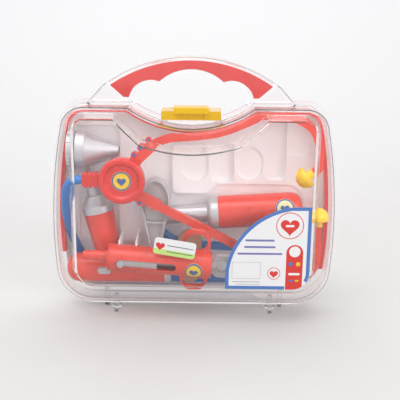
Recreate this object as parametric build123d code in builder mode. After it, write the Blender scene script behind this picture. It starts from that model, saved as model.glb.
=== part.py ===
"""A clear toy doctor case, closed and standing on its hinge edge, with its set of toy instruments.

Millimetres.  +Z up, the front window faces -Y, and the two clear halves meet at y = 0.
The origin lies under the middle of the case, on the surface that it stands on.
"""
from build123d import *
import math
import os

# ---------------------------------------------------------------- driving dimensions: case
PART_GAP = 0.3            # between the two halves
OVERCUT = 1.0             # how far a cut starts outside its piece
EDGE_S = 0.6              # roundings of small edges
EDGE_M = 1.0
EDGE_L = 1.5
WALL = 2.0                # clear shells
FLANGE_T = 2.5            # rim flange of each half, front to back
FLANGE_W = 5.0            # from the flange edge in to the body wall
BODY_BOTTOM_W = 139.0     # half widths of the rim
BODY_BULGE_W = 146.0
BODY_TOP_W = 131.0
BODY_BOTTOM_Z = 6.0       # heights of the rim
BODY_BULGE_Z = 92.0
BODY_TOP_Z = 222.0
CORNER_R = 42.0
SHOULDER_R = 27.0
BODY_DEPTH = 33.0         # each half, without its window
BODY_EDGE_R = 9.0
BODY_LIFT = 6.0           # the flange is this much wider below the body

WINDOW_DEPTH = 44.0       # from the parting plane to the window's face
WINDOW_W = 122.0          # half width at the window's foot
WINDOW_BOTTOM_Z = 34.0
WINDOW_TOP_Z = 213.0
WINDOW_DIP_Z = 180.0
WINDOW_STEP_X = (47.0, 73.0)
WINDOW_STEP_Z = 188.0
WINDOW_CORNER_R = 24.0
WINDOW_SHOULDER_R = 16.0
WINDOW_SLOPE = 4.0        # how far its side walls lean in

HANDLE_X = -3.8           # middle of handle, latch and dip
HANDLE_TOP_Z = 265.5
HANDLE_ARC_W = 88.0       # half width where the arch turns into its feet
HANDLE_ARC_Z = 236.0
HANDLE_FOOT_W = 104.0
HANDLE_FOOT_Z = 218.0
HANDLE_DEPTH = 12.0
HANDLE_WALL = 1.8
HANDLE_EDGE_R = 3.0
HANDLE_ARCH_MIN_L = 150.0 # only the arch itself has a longer edge
RIB_T = 2.1               # slanted rib between grip and foot
HOLE_DIP_Z = 202.0        # finger hole
HOLE_SIDE = (59.0, 221.0)
HOLE_LOBE = (46.5, 238.3)
HOLE_CORNER_R = 3.0
HOLE_CUSP = (31.0, 237.5)
HOLE_TOP_Z = 250.3

INSERT_MARGIN = 4.0       # from the handle's outside to the red insert
INSERT_HOLE_MARGIN = 3.0
INSERT_END = (79.0, 66.5, 225.5)   # half width at the top, at the bottom, and bottom height
INSERT_HALF_T = 8.8
INSERT_END_RUN = 12.0     # its slanted ends run on outwards, and up by this slope
INSERT_END_SLOPE = 0.87
INSERT_CAP = 20.0         # and end above the arch
INSERT_GAP = 0.3

BAND_GAP = 0.4            # red hoop, from the shell wall
BAND_W = 4.2
BAND_Y = (-2.0, 8.0)
BAND_END_Z = (62.0, 46.0) # its left and its right end

HINGE_X = 81.0
HINGE_Z = 2.8
HINGE_R = 2.75
HINGE_PIN_R = 1.0
HINGE_PIN_CLEARANCE = 0.06
HINGE_MID_L = 4.0
HINGE_EAR_L = 2.6
HINGE_SIDE_GAP = 0.4
KNUCKLE_SINK = 1.0        # into the flange

FOOT_FRONT_X = 80.5
FOOT_BACK_X = 92.5
FOOT_W = 4.0
FOOT_Y = (4.5, 14.0)

LATCH_HALF_L = 29.5
LATCH_HALF_T = 13.0
LATCH_Z = (203.6, 212.4)
LATCH_WALL = 2.0
LATCH_CHAMFER = 4.0
LATCH_CORNER_R = 2.0
LATCH_TAB_EDGE_R = 1.2
LATCH_SEAT_Z = 203.3
LATCH_SEAT_HALF_L = 30.2
LATCH_TAB_HALF_L = 17.3
LATCH_TAB_TOP_Z = 216.6
LATCH_TAB_Y = (-16.0, 3.0)
LATCH_RECESS_HALF_L = 13.0
LATCH_RECESS_Z = (204.8, 210.0)
LATCH_RECESS_DEPTH = 1.2
LATCH_PIN_Y = 7.5
LATCH_PIN_Z = 206.6
LATCH_PIN_R = 1.5
LATCH_PIN_CLEARANCE = 0.06
LUG_T = 3.0
LUG_GAP = 0.5
LUG_R = 3.0
LUG_FOOT_Z = 199.0
PIN_FIT = 0.03            # pins in the pieces that hold them

# ---------------------------------------------------------------- driving dimensions: tray
TRAY_Y = 16.0             # front face of its plate
TRAY_T = 1.2
TRAY_INSET = 9.0
TROUGH_INSET = 10.5
TROUGH_FLOOR_Y = 24.0
TROUGH_TOP_Z = 69.0
TRAY_BACK_Y = TRAY_Y + TRAY_T
POST_R = 3.0
POST_AT = ((-126.0, 80.0), (-126.0, 135.0), (126.0, 80.0), (126.0, 150.0))
CRADLE_X = (-84.0, -48.0)        # ribs that carry the penlight
CRADLE_Z = (36.0, 58.0)
SADDLE_X = (-75.0, -58.0)        # ribs that carry the syringe
SADDLE_Z = (70.6, 82.0)
RIB_SHEET = 1.6
RIM_LIP_T = 1.2
# pockets: centre x, centre z, width, height, corner radius, floor depth y
POCKETS = (
    (-100.0, 97.0, 42.0, 62.0, 8.0, 21.0),
    (-101.7, 171.0, 49.4, 44.0, 8.0, 21.0),
    (63.3, 109.5, 103.4, 46.0, 20.0, 18.0),
    (84.6, 170.0, 20.3, 66.0, 4.0, 22.0),
    (29.0, 155.0, 24.0, 42.0, 4.0, 22.0),
    (96.9, 181.7, 42.8, 35.4, 8.0, 18.0),
    (56.9, 154.7, 28.2, 34.2, 14.0, 18.5),
)
# raised forms: centre x, centre z, width, height, corner radius, front y, back y
FORMS = (
    (-3.5, 149.4, 38.4, 51.2, 5.0, 10.0, 17.2),
    (-84.5, 139.0, 11.0, 18.0, 3.0, -11.7, 17.2),
    (-4.3, 80.0, 16.0, 7.0, 2.0, 3.0, 17.2),
    (-4.3, 36.5, 16.0, 7.0, 2.0, 3.0, 25.2),
)
# recess in the first form: centre x, centre z, width, height, corner radius, floor depth y
RECESS = (0.7, 154.7, 27.2, 34.2, 12.0, 12.6)

# ---------------------------------------------------------------- driving dimensions: penlight
TORCH_R = 15.0
TORCH_Y = -2.0
TORCH_Z = 45.5
TORCH_LEFT_X = -132.0
TORCH_RIGHT_X = -30.0
TORCH_WALL = 2.0
TORCH_END_R = 12.0
SWITCH = (-92.0, 47.0, 14.0, 7.6, 3.4)   # centre x and z, length, height, corner radius
SWITCH_Y = (-18.2, -12.0)
RELIEF_GAP = 0.5          # around the penlight and the wheel, in the hoop and the tray
LENS_RING_L = 7.0
LENS_SPIGOT_L = 5.0
LENS_R = 12.6
LENS_OPEN_R = 11.2
LENS_T = 1.6
REFLECTOR = (4.0, 13.0)          # small radius and length of its cone
REFLECTOR_T = 1.2

# ---------------------------------------------------------------- driving dimensions: syringe
SYRINGE_TILT = 4.3        # degrees, right end down
SYRINGE_ROLL = 10.0       # degrees, upper loop to the front
SYRINGE_START = (-84.1, -26.5, 65.6)     # axis point where the barrel begins
BARREL_R = 13.6
BARREL_WALL = 2.0
BARREL_L = 102.5
BARREL_END_T = 4.0
COLLAR_R = 14.2
COLLAR_L = 2.5
NOSE_L = 25.5
NOSE_R = (6.4, 4.4)
NOSE_BORE_R = 2.2
NOSE_SPIGOT_L = 5.0
PLATE_T = 4.0
PLATE_X = (71.4, 99.9)    # along the barrel
PLATE_REACH = (28.4, 38.8)               # from the axis to the far edges of the lower and upper loop
PLATE_CORNER_R = 12.0
LOOP_W = 22.0
LOOP_LOW = (-24.4, -15.5, 4.2)           # lower hole: from and to, across the axis, corner radius
LOOP_HIGH = (15.5, 34.2, 9.0)            # upper hole
SLOT_X = (6.5, 67.0)
SLOT_W = 8.6
PLUNGER_R = 5.0
PLUNGER_CLEARANCE = 0.08
PISTON_GAP = 0.4
PISTON_L = 41.0
PISTON_X = 6.8
SLIDER_R = 3.8
SLIDER_X = 11.4
SLIDER_OUT = 0.8          # proud of the barrel
STICKER_TURN = 12.0       # degrees below the front
SYRINGE_STICKER_R = 9.2
SYRINGE_STICKER_X = 85.0
THUMB_RING = (19.0, 25.0, 7.0)           # length, width, corner radius
THUMB_HOLE = (9.5, 14.0, 4.0)
THUMB_T = 4.4
THUMB_GAP = 1.2           # from the barrel, when pushed in
ROD_END_GAP = 1.0         # from the end of the rod to the hole of its ring

# ---------------------------------------------------------------- driving dimensions: hammer
HAMMER_Y = 1.0
HAMMER_START = (25.0, 106.2)     # x and z where the handle begins
HAMMER_TILT = 3.6                # degrees, right end up
HAMMER_HANDLE_R = 17.0
HAMMER_HANDLE_L = 86.5
HAMMER_END_R = 11.0
HAMMER_NECK_R = 9.5
HAMMER_NECK_L = 52.0             # to its end behind the head
HAMMER_COLLAR_L = 11.5
HAMMER_COLLAR_R = 6.0            # rounding of its front edge
HAMMER_JOINT_L = 5.0             # how far neck and handle plug into the collar
HAMMER_STICKER = (67.5, 17.0, 9.8)       # along the handle, degrees above the front, radius
HEAD_Y = -6.0
HEAD_C = (-39.5, 120.0)
HEAD_W = 31.0
HEAD_TOP_Z = 143.0
HEAD_MID_Z = 98.0
HEAD_TIP = (4.0, 64.0)           # half width and height of the blunt tip
HEAD_HALF_T = 7.0
HEAD_RIM = 2.2
HEAD_RECESS = 5.0

# ---------------------------------------------------------------- driving dimensions: otoscope
GRIP_TOP = (-99.3, 4.0, 105.3)   # where handle and neck meet on its axis
GRIP_TILT = 12.0                 # degrees, top to the left
GRIP_H = 40.7
GRIP_R = (13.2, 15.6)            # bottom and top
GRIP_END_R = 3.0
GRIP_NECK_R = 16.4
DOME_H = 17.5
DOME_BAND_L = 7.0
DOME_EDGE_R = 7.0
DOME_CUFF = 2.0
STEM_R = 6.5
STEM_FOOT = (-102.5, 4.0, 117.0) # the slanted stem, from inside the neck
STEM_TOP = (-110.5, 0.0, 156.0)  # up to the head
SCOPE_C = (-2.0, 170.6)          # y and z of the head's axis
SCOPE_WHEEL_X = (-127.8, -119.8)
SCOPE_WHEEL_R = 19.6
SCOPE_RIBS = 14
SCOPE_RIB_W = 4.6
SCOPE_RIB_H = 1.5
SCOPE_RIB_SINK = 0.5
SCOPE_RIB_INSET = 1.2
SCOPE_BODY_X = (-119.4, -109.4)
SCOPE_AXLE_L = 6.0
SCOPE_BODY_R = 19.4
SCOPE_CONE_TIP_X = -76.5
SCOPE_CONE_R = (17.6, 6.6)
SCOPE_CONE_WALL = 1.6
SCOPE_AXLE_R = 4.0
SCOPE_AXLE_CLEARANCE = 0.06
SCOPE_AXLE_ROOM = 0.4

# ---------------------------------------------------------------- driving dimensions: stethoscope
CHEST_C = (-71.5, 145.5)
CHEST_R = 23.0
CHEST_Y = (-34.0, -22.6)
CHEST_RECESS_R = 15.6
CHEST_RECESS = 2.4
CHEST_DOME_R = 2.6
DIAPHRAGM_T = 1.0
STICKER_T = 0.25
CHEST_STICKER_R = 9.8
NIPPLE_ROOT_X = -92.5
NIPPLE_TIP_X = -111.0
NIPPLE_C = (-25.5, 145.5)        # y and z of its axis
NIPPLE_SIZE = (15.0, 10.6)       # height and depth over its ribs
NIPPLE_GROOVE = 1.3
NIPPLE_RIB_X = (-97.0, -102.2, -107.4)
NIPPLE_RIB_L = 3.2
DIAPHRAGM_R = 19.0
HOSE_R = 4.4
HOSE_BORE_R = 2.6
BARB_R = 2.5
BARB_L = 8.0
ARM_Y = (-21.0, -15.0)
ARM_W = 8.0
ARM_ROOT_W = 12.5
LAP_GAP = 0.3
PIVOT = (-70.0, 143.0)
PIVOT_R = 2.5
PIVOT_CLEARANCE = 0.06
HUB_R = 9.0
YOKE_T = 3.0
PIN_HEAD_R = 4.5
YOKE_LEFT_X = -90.0      # left end of the yoke plate
YOKE_PLATE_Z = 141.0
YOKE_PLATE_H = 14.0
YOKE_BOSS_R = 5.0
YOKE_BARB = ((-69.0, -14.0, 142.0), (-60.0, 6.0, 126.0))     # from the plate to the barb's tip
HOSE_END_L = 12.0
PEG_R = 1.7
PEG_PROUD = 0.8
LOBE_R = 3.1
UPPER_PEGS = ((-59.8, 169.8), (-53.4, 176.8), (-45.5, 184.4))
LOWER_PEGS = ((-54.5, 121.0),)
UPPER_NOTCHES = ((-56.8, 173.6), (-49.6, 180.9))
LOWER_NOTCHES = ((-49.4, 117.4), (-44.1, 114.7), (-38.8, 112.0))
NOTCH_R = (1.7, 2.2)             # upper and lower arm
UPPER_ARM = ((-70, 143), (-57, 166), (-42, 180.5), (-25, 187), (0, 188.8), (20, 191.4), (35, 196),
             (50, 202.4), (64, 209.2), (97, 209.4), (117.5, 197.5), (124.5, 177.5), (123.6, 157.2),
             (118.5, 153.5))
LOWER_ARM = ((-70, 143), (-54, 126), (-35, 116.5), (5, 97), (38, 79.5), (90, 52), (117, 45),
             (126, 58), (125.5, 98))
ARM_MAX_BEND = 40.0
EAR_R = 11.0
EAR_RIM_R = 1.5
EAR_FORM = ((10.5, 11.0, 5.0), (16.0, 8.3, 5.0), (19.0, 3.0, 2.5))     # along, radius, rounding
EAR_NECK_R = 4.6
EAR_NECK_L = 6.0
EAR_PIN_R = 2.0
EAR_PIN_L = 5.0
BEND_SHARE = 0.45         # share of the shorter run that a bend takes
HOSE_MAX_BEND = 60.0
HOSE_PATH = (
    (-111, -25.5, 145.5), (-127, -25.5, 145.5), (-131, -14, 112), (-129, 3, 84), (-123, 15, 60),
    (-112, 19.2, 44), (-97, 19.2, 32.5), (-75, 19.2, 28.2), (-35, 19.2, 27.8), (0, 18, 27.4),
    (28, 17.4, 27.4), (60, 17, 30), (68.5, 17, 36.3), (71, 17, 45.4), (68, 17, 54.6), (60, 16.7, 61.5),
    (36, 14.3, 64.8), (8, 11.5, 66.5), (-22, 9.5, 71), (-41, 8.5, 90), (-47, 9.5, 112))

# ---------------------------------------------------------------- driving dimensions: the rest
STRIP_W = 25.0
STRIP_L = 58.0
STRIP_C = (-4.3, 58.0)
STRIP_Y = 3.0
STRIP_T = 2.0
STRIP_END_R = 12.4
STRIP_PAD = (15.0, 20.0, 0.8)    # width, length, height
LABEL_T = 0.25
LABEL_RIGHT_X = 115.5
LABEL_LEFT_X = 32.0
LABEL_BOTTOM_Z = 39.0
LABEL_TOP_Z = 124.5
LABEL_LEFT_TOP_Z = 58.0
LABEL_ARC_X = 98.0
LABEL_ARC_MID = (51.5, 100.5)
TAG = (-18.5, 81.0, 41.5, 17.0, -9.5)   # centre x, z, width, height, turn in degrees
TAG_CORNER_R = 3.0
LABEL_CORNER_R = 17.0

HALF_GAP = PART_GAP / 2


def face_at(y):
    """Sketch plane that looks at the object from the front, at depth y; it extrudes to -Y."""
    return Plane.XZ.offset(-y)


def finger_hole(grow=0.0, mode=Mode.SUBTRACT):
    """The scalloped finger hole, grown by a margin, drawn into the sketch that is open."""
    with BuildSketch(mode=Mode.PRIVATE) as hole:
        with BuildLine():
            dip = ThreePointArc((-HOLE_SIDE[0], HOLE_SIDE[1]), (0, HOLE_DIP_Z), HOLE_SIDE)
            ThreePointArc(dip @ 1, HOLE_LOBE, HOLE_CUSP)
            ThreePointArc(HOLE_CUSP, (0, HOLE_TOP_Z), (-HOLE_CUSP[0], HOLE_CUSP[1]))
            ThreePointArc((-HOLE_CUSP[0], HOLE_CUSP[1]), (-HOLE_LOBE[0], HOLE_LOBE[1]), dip @ 0)
        make_face()
        fillet(hole.vertices(), radius=HOLE_CORNER_R)
        if grow:
            offset(amount=grow)
    add(hole.sketch.moved(Location((HANDLE_X, 0, 0))), mode=mode)


def body_region(inset=0.0, lift=0.0, mode=Mode.ADD):
    """The rim's outline without its dip, its base lifted, moved in by inset, drawn into the open sketch."""
    with BuildSketch(mode=Mode.PRIVATE) as body:
        with BuildLine():
            base = Line((-BODY_BOTTOM_W, BODY_BOTTOM_Z + lift), (BODY_BOTTOM_W, BODY_BOTTOM_Z + lift))
            right = ThreePointArc(base @ 1, (BODY_BULGE_W, BODY_BULGE_Z), (BODY_TOP_W, BODY_TOP_Z))
            top = Line(right @ 1, (-BODY_TOP_W, BODY_TOP_Z))
            ThreePointArc(top @ 1, (-BODY_BULGE_W, BODY_BULGE_Z), base @ 0)
        make_face()
        corners = body.vertices().group_by(Axis.Y)
        fillet(corners[0], radius=CORNER_R)
        fillet(body.vertices().group_by(Axis.Y)[-1], radius=SHOULDER_R)
        if inset:
            offset(amount=-inset)
    add(body.sketch, mode=mode)


def wall_region(inset, mode=Mode.ADD):
    """The body's outline with its dip and its lifted base, moved in by inset."""
    rise = HOLE_SIDE[1] - HOLE_DIP_Z
    radius = (HOLE_SIDE[0] ** 2 + rise ** 2) / (2 * rise)
    with BuildSketch(mode=Mode.PRIVATE) as region:
        body_region(inset, BODY_LIFT)
        with Locations((HANDLE_X, HOLE_DIP_Z + radius)):
            Circle(radius + inset, mode=Mode.SUBTRACT)
    add(region.sketch, mode=mode)


def handle_region(inset=0.0, mode=Mode.ADD):
    """The handle's outer outline, closed below inside the body."""
    with BuildSketch(mode=Mode.PRIVATE) as handle:
        with BuildLine():
            arch = ThreePointArc((-HANDLE_ARC_W, HANDLE_ARC_Z), (0, HANDLE_TOP_Z),
                                 (HANDLE_ARC_W, HANDLE_ARC_Z))
            right = Line(arch @ 1, (HANDLE_FOOT_W, HANDLE_FOOT_Z))
            base = Line(right @ 1, (-HANDLE_FOOT_W, HANDLE_FOOT_Z))
            Line(base @ 1, arch @ 0)
        make_face()
        if inset:
            offset(amount=-inset)
    add(handle.sketch.moved(Location((HANDLE_X, 0, 0))), mode=mode)


def window_region(inset=0.0, mode=Mode.ADD):
    """The raised window's outline at its foot."""
    step_in, step_out = WINDOW_STEP_X
    with BuildSketch(mode=Mode.PRIVATE) as window:
        with BuildLine():
            dip = ThreePointArc((HANDLE_X - step_in, WINDOW_STEP_Z), (HANDLE_X, WINDOW_DIP_Z),
                                (HANDLE_X + step_in, WINDOW_STEP_Z))
            Polyline(dip @ 1, (HANDLE_X + step_out, WINDOW_TOP_Z), (WINDOW_W, WINDOW_TOP_Z),
                     (WINDOW_W, WINDOW_BOTTOM_Z), (-WINDOW_W, WINDOW_BOTTOM_Z),
                     (-WINDOW_W, WINDOW_TOP_Z), (HANDLE_X - step_out, WINDOW_TOP_Z), dip @ 0)
        make_face()
        fillet(window.vertices().group_by(Axis.Y)[0], radius=WINDOW_CORNER_R)
        tops = window.vertices().group_by(Axis.Y)[-1].sort_by(Axis.X)
        fillet([tops[0], tops[-1]], radius=WINDOW_SHOULDER_R)
        if inset:
            offset(amount=-inset)
    add(window.sketch, mode=mode)


def insert_region(grow=0.0, mode=Mode.ADD):
    """The red grip insert's outline, grown by a margin."""
    top_w, low_w, low_z = INSERT_END
    far_w = top_w + INSERT_END_RUN
    far_z = low_z + INSERT_END_SLOPE * (far_w - low_w)
    cap_z = HANDLE_TOP_Z + INSERT_CAP
    with BuildSketch(mode=Mode.PRIVATE) as ends:
        with BuildLine():
            Polyline((-low_w, low_z), (-far_w, far_z), (-top_w, cap_z),
                     (top_w, cap_z), (far_w, far_z), (low_w, low_z), close=True)
        make_face()
        if grow:
            offset(amount=grow, kind=Kind.INTERSECTION)
    with BuildSketch(mode=Mode.PRIVATE) as grip:
        handle_region(INSERT_MARGIN - grow)
        add(ends.sketch.moved(Location((HANDLE_X, 0, 0))), mode=Mode.INTERSECT)
        finger_hole(INSERT_HOLE_MARGIN - grow)
    add(grip.sketch, mode=mode)


def head_region(inset=0.0):
    """The hammer head's outline, moved in by inset: an oval crown on a tapering blade."""
    with BuildSketch(mode=Mode.PRIVATE) as blade:
        with BuildLine():
            Polyline((HEAD_C[0] - HEAD_W / 2, HEAD_C[1]), (HEAD_C[0] + HEAD_W / 2, HEAD_C[1]),
                     (HEAD_C[0] + HEAD_TIP[0], HEAD_TIP[1]),
                     (HEAD_C[0] - HEAD_TIP[0], HEAD_TIP[1]), close=True)
        make_face()
        if inset:
            offset(amount=-inset, kind=Kind.INTERSECTION)
        with Locations(HEAD_C):
            Ellipse(HEAD_W / 2 - inset, HEAD_TOP_Z - HEAD_C[1] - inset)
    add(blade.sketch)


def turned(place, outline):
    """Solid of revolution about the plane's X; points are (along, radius) or (along, radius, rounding)."""
    with BuildPart(mode=Mode.PRIVATE) as body:
        with BuildSketch(place) as profile:
            with BuildLine():
                Polyline(*[point[:2] for point in outline], close=True)
            make_face()
            for point in outline:
                if len(point) == 3:
                    corner = profile.vertices().sort_by_distance((point[0], point[1], 0))[0]
                    fillet(corner, radius=point[2])
        revolve(axis=Axis(place.origin, place.x_dir))
    return body.part


def block(x, y, z, mode=Mode.ADD):
    """Block between pairs of coordinates."""
    with Locations(((x[0] + x[1]) / 2, (y[0] + y[1]) / 2, (z[0] + z[1]) / 2)):
        Box(x[1] - x[0], y[1] - y[0], z[1] - z[0], mode=mode)


def rod(start, direction, radius, length, mode=Mode.ADD):
    """Round bar from a point along a direction."""
    with Locations(Plane(start, z_dir=direction).location):
        Cylinder(radius, length, align=(Align.CENTER, Align.CENTER, Align.MIN), mode=mode)


def slab(x, z, width, height, corner, back_y, front_y, mode=Mode.ADD):
    """Block with round corners as seen from the front, between two depths."""
    with BuildSketch(face_at(back_y)) as shape:
        with Locations((x, z)):
            RectangleRounded(width, height, corner)
    extrude(shape.sketch, amount=back_y - front_y, mode=mode)


def raised_window(inset, back_y, front_y):
    """The window block with its leaning side walls."""
    with BuildPart(mode=Mode.PRIVATE) as pane:
        with BuildSketch(face_at(back_y)):
            window_region(inset)
        extrude(amount=back_y - front_y)
        face = pane.faces().sort_by(Axis.Y)[0]
        chamfer(face.edges(), length=WINDOW_SLOPE, length2=WINDOW_DEPTH - BODY_DEPTH, reference=face)
    return pane.part


def shell_blank():
    """The front half without its hinge and feet: flange, body, window and half the handle."""
    with BuildPart(mode=Mode.PRIVATE) as grip:
        with BuildSketch(face_at(-HALF_GAP)):
            handle_region()
            finger_hole()
        extrude(amount=HANDLE_DEPTH - HALF_GAP)
        rims = grip.faces().sort_by(Axis.Y)[0].edges()
        outer = [e for e in rims if e.length > HANDLE_ARCH_MIN_L or abs(e.center().X) > HANDLE_ARC_W]
        fillet(outer, radius=HANDLE_EDGE_R)
    with BuildPart(mode=Mode.PRIVATE) as bowl:
        with BuildSketch(face_at(-HALF_GAP)):
            wall_region(FLANGE_W)
        extrude(amount=BODY_DEPTH - HALF_GAP)
        fillet(bowl.faces().sort_by(Axis.Y)[0].edges(), radius=BODY_EDGE_R)
    with BuildPart(mode=Mode.PRIVATE) as hollow:
        with BuildSketch(face_at(-HALF_GAP)):
            wall_region(FLANGE_W + WALL)
        extrude(amount=BODY_DEPTH - WALL - HALF_GAP)
        fillet(hollow.faces().sort_by(Axis.Y)[0].edges(), radius=BODY_EDGE_R - WALL)
    with BuildPart(mode=Mode.PRIVATE) as blank:
        with BuildSketch(face_at(-HALF_GAP)):
            body_region()
            handle_region()
            finger_hole()
        extrude(amount=FLANGE_T)
        add(grip.part)
        add(bowl.part)
        add(raised_window(0, -BODY_DEPTH + WALL, -WINDOW_DEPTH))
        add(hollow.part, mode=Mode.SUBTRACT)
        add(raised_window(WALL, -BODY_DEPTH + 2 * WALL, -WINDOW_DEPTH + WALL), mode=Mode.SUBTRACT)
        with BuildSketch(face_at(-HALF_GAP)):
            insert_region(INSERT_GAP)
        extrude(amount=INSERT_HALF_T + INSERT_GAP, mode=Mode.SUBTRACT)
        with BuildSketch(face_at(-HALF_GAP)):
            handle_region(HANDLE_WALL)
            finger_hole(HANDLE_WALL)
            insert_region(INSERT_GAP + RIB_T, mode=Mode.SUBTRACT)
            body_region(FLANGE_W - RIB_T, mode=Mode.SUBTRACT)
        extrude(amount=HANDLE_DEPTH - HANDLE_WALL, mode=Mode.SUBTRACT)
        block((HANDLE_X - LATCH_SEAT_HALF_L, HANDLE_X + LATCH_SEAT_HALF_L), (-FLANGE_T - OVERCUT, 0),
              (LATCH_SEAT_Z, LATCH_TAB_TOP_Z), mode=Mode.SUBTRACT)
    return blank.part


def foot(x, y):
    """Foot rib, from the floor into the shell's bottom wall."""
    block((x - FOOT_W / 2, x + FOOT_W / 2), y, (0, BODY_BOTTOM_Z + BODY_LIFT + FLANGE_W + WALL / 2))


HINGE_EARS = [HINGE_MID_L / 2 + HINGE_SIDE_GAP, HINGE_MID_L / 2 + HINGE_SIDE_GAP + HINGE_EAR_L]
TORCH = Plane(origin=(0, TORCH_Y, TORCH_Z), x_dir=(1, 0, 0), z_dir=(0, -1, 0))
TILT = math.radians(SYRINGE_TILT)
ROLL = math.radians(SYRINGE_ROLL)
SYRINGE_AXIS = Vector(math.cos(TILT), 0, -math.sin(TILT))
SYRINGE_UP = Vector(math.sin(TILT), 0, math.cos(TILT))
SYRINGE_FRONT = Vector(0, -1, 0) * math.cos(ROLL) - SYRINGE_UP * math.sin(ROLL)
SYRINGE = Plane(origin=SYRINGE_START, x_dir=SYRINGE_AXIS, z_dir=SYRINGE_FRONT)
HAMMER_SLOPE = math.radians(HAMMER_TILT)
HAMMER_AXIS = Vector(math.cos(HAMMER_SLOPE), 0, math.sin(HAMMER_SLOPE))
HAMMER = Plane(origin=(HAMMER_START[0], HAMMER_Y, HAMMER_START[1]), x_dir=HAMMER_AXIS, z_dir=(0, -1, 0))
GRIP_LEAN = math.radians(GRIP_TILT)
GRIP_AXIS = Vector(-math.sin(GRIP_LEAN), 0, math.cos(GRIP_LEAN))
GRIP = Plane(origin=Vector(*GRIP_TOP) - GRIP_AXIS * GRIP_H, x_dir=GRIP_AXIS, z_dir=(0, -1, 0))
SCOPE = Plane(origin=(0, SCOPE_C[0], SCOPE_C[1]), x_dir=(1, 0, 0), z_dir=(0, -1, 0))
CHEST = Plane(origin=(CHEST_C[0], CHEST_Y[1], CHEST_C[1]), x_dir=(0, -1, 0), z_dir=(1, 0, 0))
PINHOLE = LATCH_PIN_R + LATCH_PIN_CLEARANCE
STEM = Vector(*STEM_TOP) - Vector(*STEM_FOOT)
ARM_C_Y = (ARM_Y[0] + ARM_Y[1]) / 2
TORCH_ROOM = [(TORCH_LEFT_X - RELIEF_GAP, 0),
              (TORCH_LEFT_X - RELIEF_GAP, TORCH_R + RELIEF_GAP, TORCH_END_R + RELIEF_GAP),
              (0, TORCH_R + RELIEF_GAP), (0, 0)]
WHEEL_ROOM = [(SCOPE_WHEEL_X[0] - RELIEF_GAP, 0),
              (SCOPE_WHEEL_X[0] - RELIEF_GAP, SCOPE_WHEEL_R + SCOPE_RIB_H + RELIEF_GAP),
              (SCOPE_BODY_X[1], SCOPE_WHEEL_R + SCOPE_RIB_H + RELIEF_GAP), (SCOPE_BODY_X[1], 0)]

os.makedirs("parts", exist_ok=True)
blank = shell_blank()

# ---------------------------------------------------------------- case
with BuildPart() as front_shell:
    add(blank)
    for side in (-1, 1):
        foot(side * FOOT_FRONT_X, (-FOOT_Y[1], -FOOT_Y[0]))
        middle = side * HINGE_X
        rod((middle - HINGE_MID_L / 2, 0, HINGE_Z), (1, 0, 0), HINGE_R, HINGE_MID_L)
        block((middle - HINGE_MID_L / 2, middle + HINGE_MID_L / 2), (-FLANGE_T - HALF_GAP, -HALF_GAP),
              (HINGE_Z, BODY_BOTTOM_Z + KNUCKLE_SINK))
        rod((middle - HINGE_MID_L, 0, HINGE_Z), (1, 0, 0), HINGE_PIN_R + HINGE_PIN_CLEARANCE,
            2 * HINGE_MID_L, mode=Mode.SUBTRACT)
front_shell.part.label = "front_shell"
export_step(front_shell.part, "parts/front_shell.step")

with BuildPart() as back_shell:
    add(blank.mirror(Plane.XZ))
    for side in (-1, 1):
        foot(side * FOOT_BACK_X, FOOT_Y)
        for inner, outer in (HINGE_EARS, (-HINGE_EARS[1], -HINGE_EARS[0])):
            start = side * HINGE_X + inner
            rod((start, 0, HINGE_Z), (1, 0, 0), HINGE_R, outer - inner)
            block((start, start + outer - inner), (HALF_GAP, FLANGE_T + HALF_GAP),
                  (HINGE_Z, BODY_BOTTOM_Z + KNUCKLE_SINK))
        rod((side * HINGE_X - 2 * HINGE_MID_L, 0, HINGE_Z), (1, 0, 0), HINGE_PIN_R + PIN_FIT,
            4 * HINGE_MID_L, mode=Mode.SUBTRACT)
        lug_end = LATCH_HALF_L - LATCH_WALL - LUG_GAP
        lug_x = sorted((HANDLE_X + side * lug_end, HANDLE_X + side * (lug_end - LUG_T)))
        block(lug_x, (LATCH_PIN_Y - LUG_R, LATCH_PIN_Y + LUG_R), (LUG_FOOT_Z, LATCH_PIN_Z))
        rod((lug_x[0], LATCH_PIN_Y, LATCH_PIN_Z), (1, 0, 0), LUG_R, LUG_T)
        rod((lug_x[0] - OVERCUT, LATCH_PIN_Y, LATCH_PIN_Z), (1, 0, 0), PINHOLE, LUG_T + 2 * OVERCUT,
            mode=Mode.SUBTRACT)
    for x, z in POST_AT:
        rod((x, TRAY_BACK_Y, z), (0, 1, 0), POST_R, BODY_DEPTH - WALL / 2 - TRAY_BACK_Y)
back_shell.part.label = "back_shell"
export_step(back_shell.part, "parts/back_shell.step")

with BuildPart() as hinge_pins:
    for side in (-1, 1):
        rod((side * HINGE_X - HINGE_EARS[1], 0, HINGE_Z), (1, 0, 0), HINGE_PIN_R, 2 * HINGE_EARS[1])
hinge_pins.part.label = "hinge_pins"
export_step(hinge_pins.part, "parts/hinge_pins.step")

with BuildPart() as handle_insert:
    with BuildSketch(face_at(HALF_GAP + INSERT_HALF_T + INSERT_GAP)):
        insert_region()
    extrude(amount=HALF_GAP + 2 * INSERT_HALF_T + INSERT_GAP)
handle_insert.part.label = "handle_insert"
export_step(handle_insert.part, "parts/handle_insert.step")

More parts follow.
